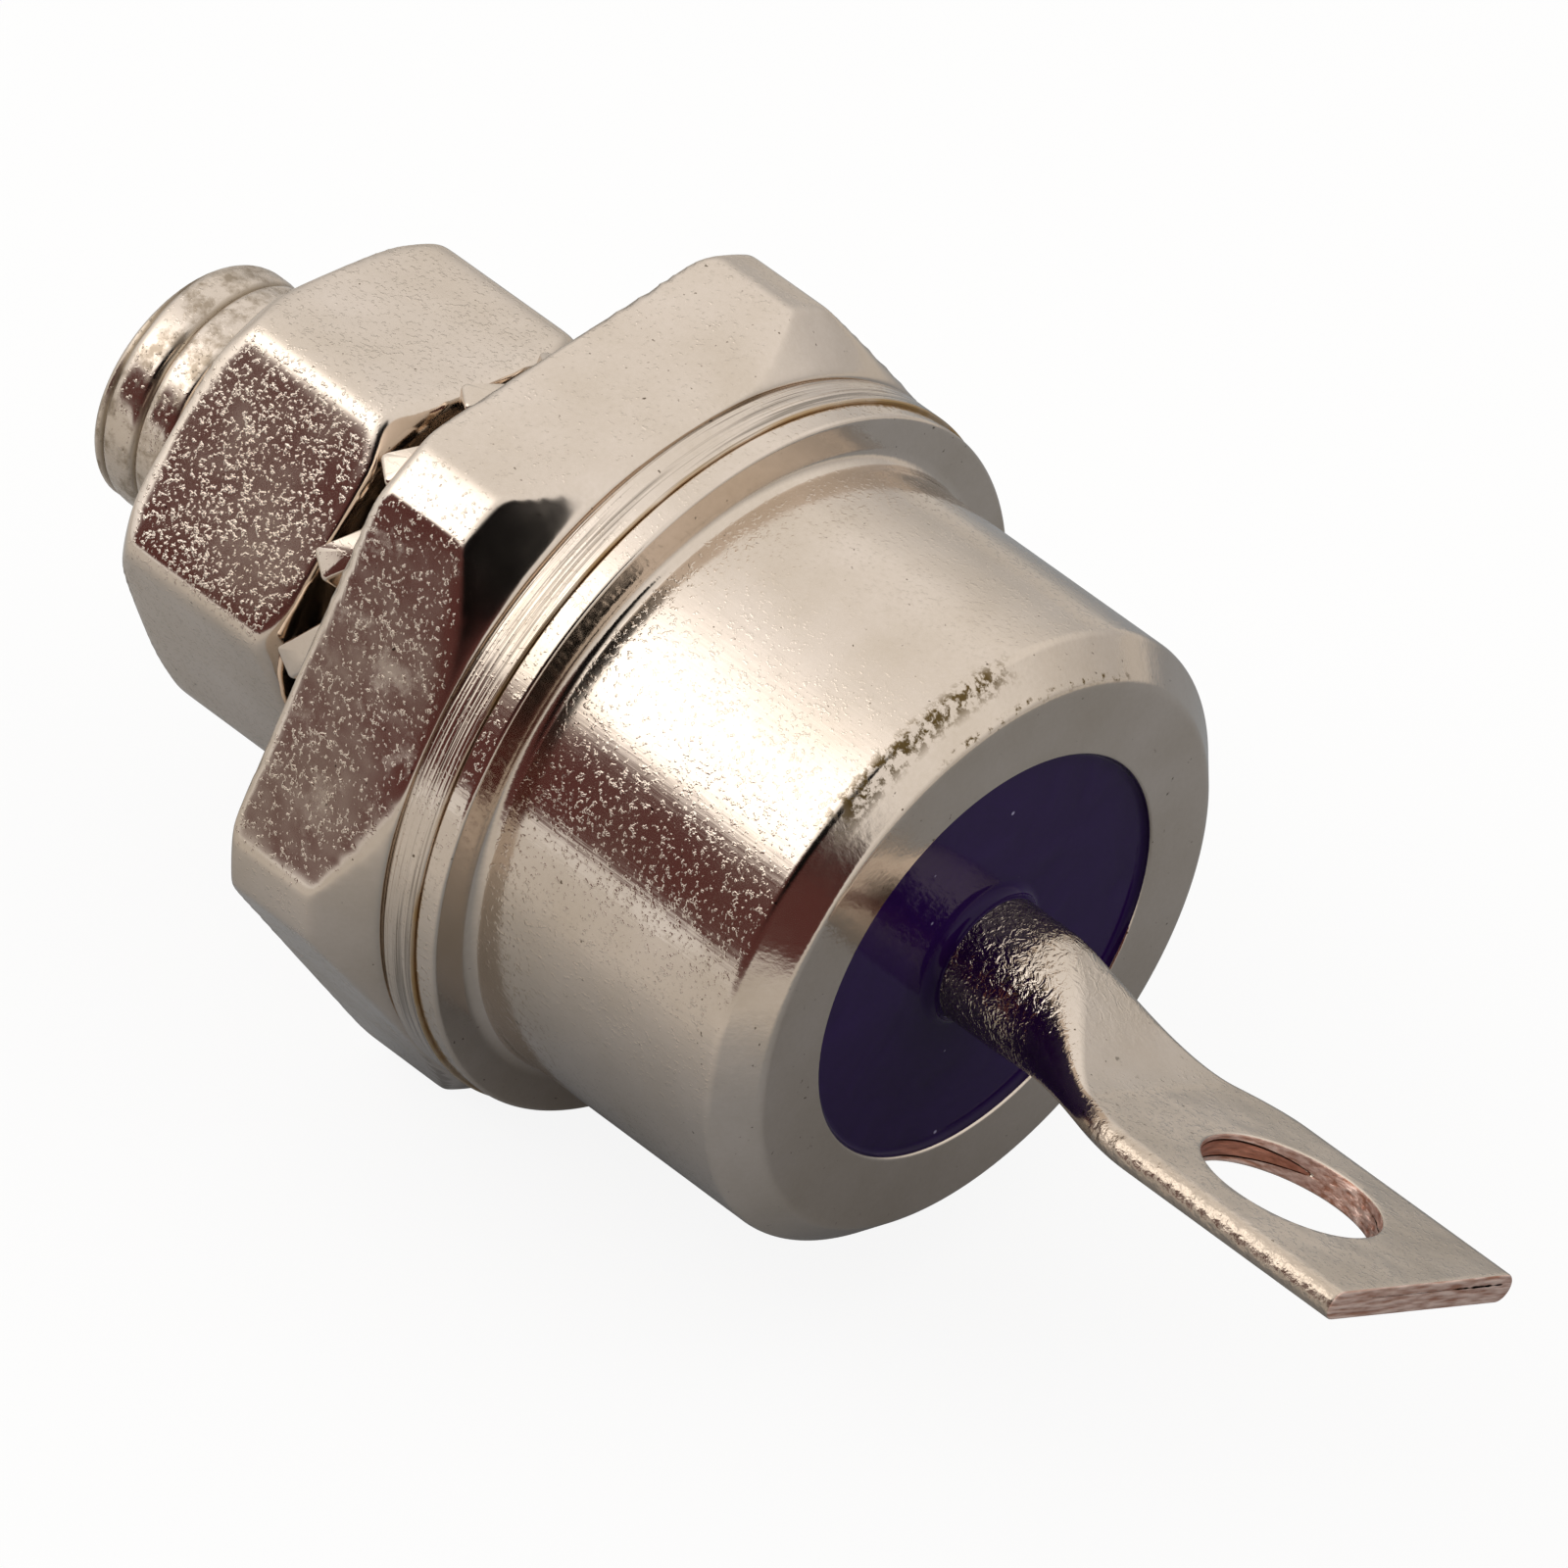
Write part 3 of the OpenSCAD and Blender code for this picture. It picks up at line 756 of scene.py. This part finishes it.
# The bore follows the lead, round in the tube and a flat lens in the tab, with a hairline round it.
bore_turns = np.radians(np.linspace(0, 360, 48, endpoint=False))
lead_r = 0.7
lens_half_w = 1.9
lens_half_t = 0.17
lens_gap = 0.045
lens_spread_length = 3.4
bore_reach = 1
bore_rings = []
for x in np.concatenate([[tube_low[0] - bore_reach], np.linspace(flatten_x, hole_x, 24)]):
    pressed = ease(flatten_x, flatten_x + flatten_length, x)
    spread = ease(spread_x, spread_x + lens_spread_length, x)
    half_w = lead_r + (lens_half_w - lead_r) * spread + lens_gap
    half_t = lead_r + (lens_half_t - lead_r) * pressed + lens_gap
    middle = pressed_section(x)[2]
    bore_rings.append(tab_point(half_w * np.cos(bore_turns), middle + half_t * np.sin(bore_turns), x))
bore_rings.insert(0, tip(bore_rings[0].mean(axis=0), bore_turns))
bore_rings.append(tip(bore_rings[-1].mean(axis=0), bore_turns))

# The slit is where the tube's walls meet in the tab: a hairline that opens raggedly at one side.
slit_from = -lens_half_w
slit_open = 1.2
slit_open_soft = 0.15
slit_to = 2.95
slit_lift = 0.12
slit_hairline = 0.006
slit_middle = pressed_section(tab_end)[2] + slit_lift
slit_across = np.linspace(slit_from, slit_to, 90)
slit_gape = 0.016 + ragged(slit_across * 2, (3, 7, 11), 0.018)
slit_opening = ease(slit_open - slit_open_soft, slit_open + slit_open_soft, slit_across)
slit_half = slit_hairline + slit_gape * slit_opening
slit_half[[0, -1]] = 0
slit_across = np.concatenate([slit_across, slit_across[::-1]])
slit_up = slit_middle + np.concatenate([slit_half, -slit_half[::-1]])
slit_ends = (hole_x + hole_r / 2, tab_end + 0.2)
slit_rings = [tab_point(slit_across, slit_up, x) for x in slit_ends]
slit_rings.insert(0, tab_point(slit_across, slit_middle, slit_ends[0]))
slit_rings.append(tab_point(slit_across, slit_middle, slit_ends[1]))


def combine(name, operation, body, tools):
    """Cuts or joins closed meshes with the exact solver, and cleans the mesh after each step. Then
    the result is shaded smooth, but for its sharp edges."""
    whole = bpy.data.objects.new(name, body)
    scene.collection.objects.link(whole)
    for tool in tools:
        other = bpy.data.objects.new(name + "_tool", tool)
        scene.collection.objects.link(other)
        change = whole.modifiers.new(name, "BOOLEAN")
        change.operation = operation
        change.solver = "EXACT"
        change.object = other
        bpy.context.view_layer.update()
        evaluated = whole.evaluated_get(bpy.context.evaluated_depsgraph_get())
        result = bpy.data.meshes.new_from_object(evaluated)
        whole.modifiers.clear()
        work = bmesh.new()
        work.from_mesh(result)
        merge_close(work)
        work.to_mesh(result)
        work.free()
        whole.data = result
        bpy.data.objects.remove(other)
    whole.data.name = name
    whole.data.set_sharp_from_angle(angle=math.radians(38))
    return whole


terminal = combine(
    "pressed_terminal",
    "DIFFERENCE",
    skin("pressed_terminal", tube_rings),
    [skin("bore", bore_rings), skin("hole", hole_rings), skin("slit", slit_rings)],
)


def bare_copper(name, light, dark):
    """Copper as it was punched, sheared or drawn: pink, grainy and streaked along the cut, and dull
    brown in its hollows."""
    material, tree, place = empty_material(name)
    spread = node(
        tree,
        "Mapping",
        {
            "Vector": place,
            "Rotation": [tab_angle - math.pi / 2, 0, 0],
            "Scale": [0.25 * mm, 0.8 * mm, 0.09 * mm],
        },
        vector_type="TEXTURE",
    )
    tear = node(tree, "TexNoise", {"Vector": spread.outputs[0], "Scale": 1, "Detail": 4})
    amount = node(tree, "MapRange", {0: tear.outputs[0], 1: 0.35, 2: 0.62})
    tone = node(
        tree, "Mix", {"Factor": amount.outputs[0], 6: linear(dark), 7: linear(light)}, data_type="RGBA"
    )
    normal = node(tree, "Bump", {"Height": tear.outputs[0], "Distance": 0.035 * mm})
    shader = node(
        tree,
        "BsdfPrincipled",
        {
            "Base Color": tone.outputs[2],
            "Metallic": 1,
            "Roughness": 0.48,
            "Normal": normal.outputs[0],
        },
    )
    node(tree, "OutputMaterial", {"Surface": shader.outputs[0]})
    return material


def crumpled_root(tree, place):
    """The plate wrinkled like foil where the tube was pressed, from the glass to the tab's start."""
    axis = node(tree, "SeparateXYZ", {0: place})
    fade_from = (flatten_x + 1.2) * mm
    fade_to = (flatten_x + 3) * mm
    near = node(tree, "MapRange", {0: axis.outputs[0], 1: fade_from, 2: fade_to, 3: 1, 4: 0})
    fold = node(
        tree,
        "TexNoise",
        {"Vector": place, "Scale": 1 / (0.26 * mm), "Detail": 3, "Distortion": 0.6},
    )
    fold = node(tree, "Math", {0: fold.outputs[0], 1: 0.5}, operation="SUBTRACT")
    fold = node(tree, "Math", {0: fold.outputs[0]}, operation="ABSOLUTE")
    height = node(tree, "Math", {0: fold.outputs[0], 1: near.outputs[0]}, operation="MULTIPLY")
    return height.outputs[0], 0.06


def tab_edges(tree, place, most):
    """Rises from 0 on the tab's flats to the given most on its two rounded edges."""
    across = node(tree, "VectorMath", {0: place, 1: tab_point(1, 0, 0)}, operation="DOT_PRODUCT")
    across = node(tree, "Math", {0: across.outputs["Value"]}, operation="ABSOLUTE")
    edge = (tab_half - tab_thick / 2) * mm
    return node(
        tree, "MapRange", {0: across.outputs[0], 1: edge, 2: edge + 0.2 * mm, 4: most}
    ).outputs[0]


def pressed_edge(tree, place):
    """The rounded edges of the tab, upset by the press, are coarse under the plate."""
    near = tab_edges(tree, place, 1)
    coarse = node(tree, "TexNoise", {"Vector": place, "Scale": 1 / (0.28 * mm), "Detail": 3})
    coarse = node(tree, "Math", {0: coarse.outputs[0], 1: 0.5}, operation="SUBTRACT")
    height = node(tree, "Math", {0: coarse.outputs[0], 1: near}, operation="MULTIPLY")
    return height.outputs[0], 0.08


def worn_edge(tree, place, colour, rough):
    """The plate is thin on the tab's edges, so the copper warms them, and they are dull."""
    near = tab_edges(tree, place, 0.8)
    warm = node(tree, "Mix", {"Factor": near, 6: colour, 7: linear("#c0b09f")}, data_type="RGBA")
    dull = node(tree, "Mix", {"Factor": near, 2: rough, 3: 0.34})
    return warm.outputs[2], dull.outputs[0]


def painted_root_reflection(tree, place, colour, rough):
    """A painted dark reflection: a brownish tint on the root of the tube, fading out along it."""
    axis = node(tree, "SeparateXYZ", {0: place})
    fade_from = flatten_x * mm
    fade_to = (flatten_x + 2.5) * mm
    near = node(tree, "MapRange", {0: axis.outputs[0], 1: fade_from, 2: fade_to, 3: 0.3, 4: 0})
    brown = node(
        tree, "Mix", {"Factor": near.outputs[0], 6: colour, 7: linear("#a39684")}, data_type="RGBA"
    )
    return brown.outputs[2], rough


def press_marks(tree, place, colour, rough):
    """Small dark marks that the press and the punch left on the tab."""
    mark = node(
        tree, "TexNoise", {"Vector": place, "Scale": 1 / (0.3 * mm), "Detail": 6, "Roughness": 0.65}
    )
    mark = node(tree, "MapRange", {0: mark.outputs[0], 1: 0.66, 2: 0.74, 4: 0.7})
    marked = node(
        tree, "Mix", {"Factor": mark.outputs[0], 6: colour, 7: linear("#6f6558")}, data_type="RGBA"
    )
    return marked.outputs[2], rough


terminal.data.materials.clear()
terminal.data.materials.append(
    nickel_plate(
        "nickel_plate_on_pressed_copper",
        grain_depth=0.004,
        grain_from=0.55,
        reliefs=[crumpled_root, pressed_edge],
        stains=[painted_root_reflection, press_marks, worn_edge],
    )
)
terminal.data.materials.append(bare_copper("sheared_copper", light="#fadfd2", dark="#bd8c77"))

# The walls of the hole and the sheared end are bare: faces that stand across the tab's faces there.
across_tab = 0.7
wall_reach = 0.03
hole_middle = tab_point(0, 0, hole_x)
tab_normal = tab_point(0, 1, 0)
for face in terminal.data.polygons:
    place = np.array(face.center) / mm
    outward = np.array(face.normal)
    sideways = np.linalg.norm(np.cross(place - hole_middle, tab_normal))
    in_hole = sideways < hole_r + wall_reach and abs(outward @ tab_normal) < across_tab
    at_end = place[0] > tab_end - cut_round and outward[0] > across_tab
    face.material_index = 1 if in_hole or at_end else 0
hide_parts("terminal_tube")
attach(terminal, "root")

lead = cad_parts["inner_lead"]
lead.data.materials.clear()
lead.data.materials.append(bare_copper("drawn_copper_wire", light="#d3967f", dark="#a8705a"))


# Lock washer: stamped from spring steel strip, its teeth twisted out of the plane by the same
# tool, hardened and plated. It hangs loose on the stud between nut and hexagon.

washer_low, washer_high = size("lock_washer")
washer_x = (washer_low[0] + washer_high[0]) / 2
washer_thick = 0.75
washer_bore = stud_r + 0.2
washer_root = washer_bore + 1.2
tooth_length = 1.15
tooth_width = 1.7
tooth_foot = 0.35
tooth_twist = math.radians(40)
tooth_count = 14
washer_turn = math.radians(-4.5)
stamped_edge = 0.1

washer_outline = rounded(
    [
        (washer_bore, washer_x - washer_thick / 2),
        (washer_root, washer_x - washer_thick / 2),
        (washer_root, washer_x + washer_thick / 2),
        (washer_bore, washer_x + washer_thick / 2),
    ],
    [stamped_edge] * 4,
)
washer_rings = [around(x, r, full_turn[::2]) for r, x in washer_outline]
tooth_outline = rounded(
    [
        (-tooth_width / 2, -washer_thick / 2),
        (tooth_width / 2, -washer_thick / 2),
        (tooth_width / 2, washer_thick / 2),
        (-tooth_width / 2, washer_thick / 2),
    ],
    [stamped_edge] * 4,
)


def tooth_ring(distance, twist, scale, turn):
    """A tooth's section at a distance from its root, twisted about the tooth's own middle line."""
    across = scale * (tooth_outline[:, 0] * math.cos(twist) + tooth_outline[:, 1] * math.sin(twist))
    lift = scale * (tooth_outline[:, 1] * math.cos(twist) - tooth_outline[:, 0] * math.sin(twist))
    out = washer_root + distance
    side = out * math.sin(turn) + across * math.cos(turn)
    down = out * math.cos(turn) - across * math.sin(turn)
    return np.stack([washer_x + lift, side, -down], axis=-1)


teeth = []
for k in range(tooth_count):
    turn = washer_turn + 2 * math.pi * k / tooth_count
    stations = [(-tooth_foot, 0.0, 0.0), (-tooth_foot, 0.0, 1.0)]
    stations += [(tooth_length * s, tooth_twist * s, 1.0) for s in np.linspace(0, 0.93, 10)]
    stations += [(tooth_length - 0.03, tooth_twist * 0.97, 0.97), (tooth_length, tooth_twist, 0.9)]
    stations += [(tooth_length, tooth_twist, 0.0)]
    teeth.append(skin("tooth", [tooth_ring(d, t, s, turn) for d, t, s in stations]))
washer = combine("star_washer", "UNION", skin("star_washer", washer_rings, loop=True), teeth)
washer.data.materials.clear()
washer.data.materials.append(
    nickel_plate("nickel_plate_on_spring_steel", grain_depth=0.002, grain_from=0.55)
)
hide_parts("lock_washer")
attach(washer, "root")


# Nut: cold formed steel, tapped and chamfered on both faces, with edges rounded in the barrel.
# It is run part of the way up the stud and holds the washer loosely.

nut_low, nut_high = size("hex_nut")
nut_half = 5
nut_corner = nut_half / math.cos(math.radians(30)) - 0.12
nut_face = nut_half + 0.2
nut_flat_turn = math.radians(-11.6)
nut_wear = 0.06
nut_sink = 0.4
nut_thread_step = 0.08
bore_clear = 0.03
nut_turns = hexagon_turns([22, 23.5, 25, 26, 26.8, 27.4, 27.9, 28.3, 28.7, 29.1, 29.5], nut_flat_turn)
nut_middle = (4.0, (nut_low[0] + nut_high[0]) / 2)
nut_aims = np.concatenate([np.linspace(-89, -48, 60), np.linspace(-46, 46, 30), np.linspace(48, 89, 60)])
nut_rings = list(
    worn_hexagon(
        nut_turns,
        aims=np.radians(nut_aims),
        middle=nut_middle,
        half=nut_half,
        corner=nut_corner,
        ends=(nut_low[0], nut_high[0]),
        cones=[((nut_face, nut_low[0]), (1, -1)), ((nut_face, nut_high[0]), (1, 1))],
        first_flat=nut_flat_turn,
        wear=nut_wear,
    )
)
bore_r = stud_r + bore_clear
for s in np.linspace(0, 1, 5):
    nut_rings.append(around(nut_high[0] - nut_sink * s, bore_r + nut_sink * (1 - s), nut_turns))
for x in np.arange(nut_high[0] - nut_sink, nut_low[0] + nut_sink, -nut_thread_step):
    nut_rings.append(around(x, thread_radius(x, nut_turns) + bore_clear, nut_turns))
for s in np.linspace(0, 1, 5):
    nut_rings.append(around(nut_low[0] + nut_sink * (1 - s), bore_r + nut_sink * s, nut_turns))
nut = bpy.data.objects.new("plain_nut", skin("plain_nut", nut_rings, loop=True))
nut.data.materials.append(
    nickel_plate("nickel_plate_on_formed_steel", grain_depth=0.009, grain_from=0.54)
)
scene.collection.objects.link(nut)
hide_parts("hex_nut")
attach(nut, "root")


# Studio: a pale painted table, a white room and one softbox. A dark wall stands behind the camera
# and to its left, which the plated metal mirrors as brown and black. The table is white to the
# camera. To the metal it is grey near the diode, which is a painted shadow.

table_reach = 0.15
white_straight = 0.9
white_mirrored = 0.05
table_mesh = bpy.data.meshes.new("table")
table_mesh.from_pydata(
    [(x * table_reach, y * table_reach, cad_low.z) for x, y in ((-1, -1), (1, -1), (1, 1), (-1, 1))],
    [],
    [(0, 1, 2, 3)],
)
table = bpy.data.objects.new("table", table_mesh)
scene.collection.objects.link(table)
table_paint, tree, place = empty_material("pale_table_paint")
path = node(tree, "LightPath")
# Painted shadow: the table's colour is grey in a pool round this point and paler further out.
shadow_middle = Vector((0.02, 0.014, cad_low.z))
reach = node(tree, "VectorMath", {0: place, 1: shadow_middle}, operation="DISTANCE")
reach = node(tree, "MapRange", {0: reach.outputs["Value"], 1: 0.028, 2: 0.055})
shade = node(
    tree,
    "Mix",
    {"Factor": reach.outputs[0], 6: linear("#8f9397"), 7: linear("#d0cdc8")},
    data_type="RGBA",
)
shade = node(
    tree,
    "Mix",
    {"Factor": path.outputs["Is Camera Ray"], 6: shade.outputs[2], 7: linear("#f4f3f1")},
    data_type="RGBA",
)
mirrored = node(
    tree,
    "Math",
    {0: path.outputs["Is Glossy Ray"], 1: path.outputs["Is Transmission Ray"]},
    operation="MAXIMUM",
)
mirrored = node(tree, "Math", {0: mirrored.outputs[0], 1: white_mirrored}, operation="MULTIPLY")
straight = node(
    tree, "Math", {0: path.outputs["Is Camera Ray"], 1: white_straight}, operation="MULTIPLY"
)
white = node(tree, "Math", {0: mirrored.outputs[0], 1: straight.outputs[0]}, operation="MAXIMUM")
paint = node(tree, "BsdfDiffuse", {"Color": shade.outputs[2]})
glow = node(tree, "Emission", {"Color": linear("#ffffff"), "Strength": 1})
mixed = node(tree, "MixShader", {0: white.outputs[0], 1: paint.outputs[0], 2: glow.outputs[0]})
node(tree, "OutputMaterial", {"Surface": mixed.outputs[0]})
table.data.materials.append(table_paint)

room = bpy.data.worlds.new("white_room")
scene.world = room
room.use_nodes = True
tree = room.node_tree
tree.nodes.clear()
heading = node(tree, "TexCoord").outputs["Generated"]
axis = node(tree, "SeparateXYZ", {0: heading})
bearing = node(tree, "Math", {0: axis.outputs[1], 1: axis.outputs[0]}, operation="ARCTAN2").outputs[0]
wall_from = math.radians(-131)
wall_soft = math.radians(2)
wall_to = node(
    tree, "MapRange", {0: axis.outputs[2], 1: 0.45, 2: 0.7, 3: math.radians(-14), 4: math.radians(1)}
)
wall_top = node(
    tree, "MapRange", {0: bearing, 1: math.radians(-120), 2: math.radians(-60), 3: 0.54, 4: 0.88}
)
wall_foot = node(
    tree, "MapRange", {0: bearing, 1: math.radians(-120), 2: math.radians(-60), 3: 0.045, 4: -0.05}
)
from_left = node(tree, "Math", {0: bearing, 1: wall_from}, operation="SUBTRACT")
from_right = node(tree, "Math", {0: wall_to.outputs[0], 1: bearing}, operation="SUBTRACT")
from_top = node(tree, "Math", {0: wall_top.outputs[0], 1: axis.outputs[2]}, operation="SUBTRACT")
from_foot = node(tree, "Math", {0: axis.outputs[2], 1: wall_foot.outputs[0]}, operation="SUBTRACT")
wall = 1
for inside, soft_from, soft_to in (
    (from_left.outputs[0], -wall_soft, wall_soft),
    (from_right.outputs[0], -wall_soft, wall_soft),
    (from_top.outputs[0], -0.07, 0.07),
    (from_foot.outputs[0], -0.03, 0.03),
):
    edge = node(
        tree, "MapRange", {0: inside, 1: soft_from, 2: soft_to}, interpolation_type="SMOOTHSTEP"
    )
    wall = node(tree, "Math", {0: wall, 1: edge.outputs[0]}, operation="MULTIPLY").outputs[0]
black = node(tree, "MapRange", {0: axis.outputs[2], 1: 0.25, 2: 0.5}).outputs[0]
near_camera = node(tree, "MapRange", {0: bearing, 1: math.radians(-95), 2: math.radians(-65)}).outputs[0]
black = node(tree, "Math", {0: black, 1: near_camera}, operation="MULTIPLY").outputs[0]
wall_tone = node(
    tree, "Mix", {"Factor": black, 6: linear("#5e3835"), 7: linear("#090808")}, data_type="RGBA"
)
softbox_heading = Vector((-0.49, -0.47, 0.733)).normalized()
softbox_focus = 14
softbox_gain = 1.6
toward = node(tree, "VectorMath", {0: heading, 1: softbox_heading}, operation="DOT_PRODUCT")
spot = node(tree, "Math", {0: toward.outputs["Value"], 1: 1}, operation="SUBTRACT")
spot = node(tree, "Math", {0: spot.outputs[0], 1: softbox_focus}, operation="MULTIPLY")
spot = node(tree, "Math", {0: spot.outputs[0]}, operation="EXPONENT")
far_side = node(tree, "MapRange", {0: axis.outputs[1], 1: -0.2, 2: 0.6, 3: 0.86, 4: 0.6})
ceiling_light = node(
    tree, "MapRange", {0: axis.outputs[2], 1: 0, 2: 0.5, 3: far_side.outputs[0], 4: 1.02}
)
strength = node(
    tree,
    "Math",
    {0: spot.outputs[0], 1: softbox_gain, 2: ceiling_light.outputs[0]},
    operation="MULTIPLY_ADD",
)
white_wall = node(tree, "Background", {"Color": linear("#fffdfa"), "Strength": strength.outputs[0]})
dark_wall = node(tree, "Background", {"Color": wall_tone.outputs[2], "Strength": 1})
walls = node(tree, "MixShader", {0: wall, 1: white_wall.outputs[0], 2: dark_wall.outputs[0]})
backdrop = node(tree, "Background", {"Color": linear("#ffffff"), "Strength": 1})
path = node(tree, "LightPath")
shown = node(
    tree, "MixShader", {0: path.outputs["Is Camera Ray"], 1: walls.outputs[0], 2: backdrop.outputs[0]}
)
node(tree, "OutputWorld", {"Surface": shown.outputs[0]})

# The metal mirrors the softbox's soft spot in the room, and the lamp itself only lights the diode.
softbox_side = 0.2
softbox_distance = 0.32
softbox_radiance = 0.8
softbox = bpy.data.lights.new("softbox", "AREA")
softbox.shape = "SQUARE"
softbox.size = softbox_side
softbox.energy = softbox_radiance * math.pi * softbox_side**2
softbox_stand = bpy.data.objects.new("softbox", softbox)
softbox_stand.location = softbox_heading * softbox_distance
softbox_stand.rotation_euler = softbox_heading.to_track_quat("Z", "Y").to_euler()
softbox_stand.visible_glossy = False
scene.collection.objects.link(softbox_stand)


# Camera: a long lens that looks down on the terminal's end from the photograph's side. It is a
# little rolled, as the photograph's lines show.

camera_distance = 406.37
camera_aim = (4.95, -3.03)
camera = bpy.data.objects.new("camera", bpy.data.cameras.new("camera"))
camera.data.lens = 436.8
camera.data.sensor_width = 36
camera.data.clip_start = 0.01
camera.data.clip_end = 10
camera_right = Vector((0.7056, 0.7077, 0.0362))
camera_back = Vector((0.4903, -0.5248, 0.6962)).normalized()
camera_up = camera_back.cross(camera_right).normalized()
camera_right = camera_up.cross(camera_back)
stand = camera_right * camera_aim[0] + camera_up * camera_aim[1] + camera_back * camera_distance
facing = Matrix((camera_right, camera_up, camera_back)).transposed().to_4x4()
camera.matrix_world = Matrix.Translation(stand * mm) @ facing
scene.collection.objects.link(camera)
scene.camera = camera
scene.view_settings.view_transform = "Standard"
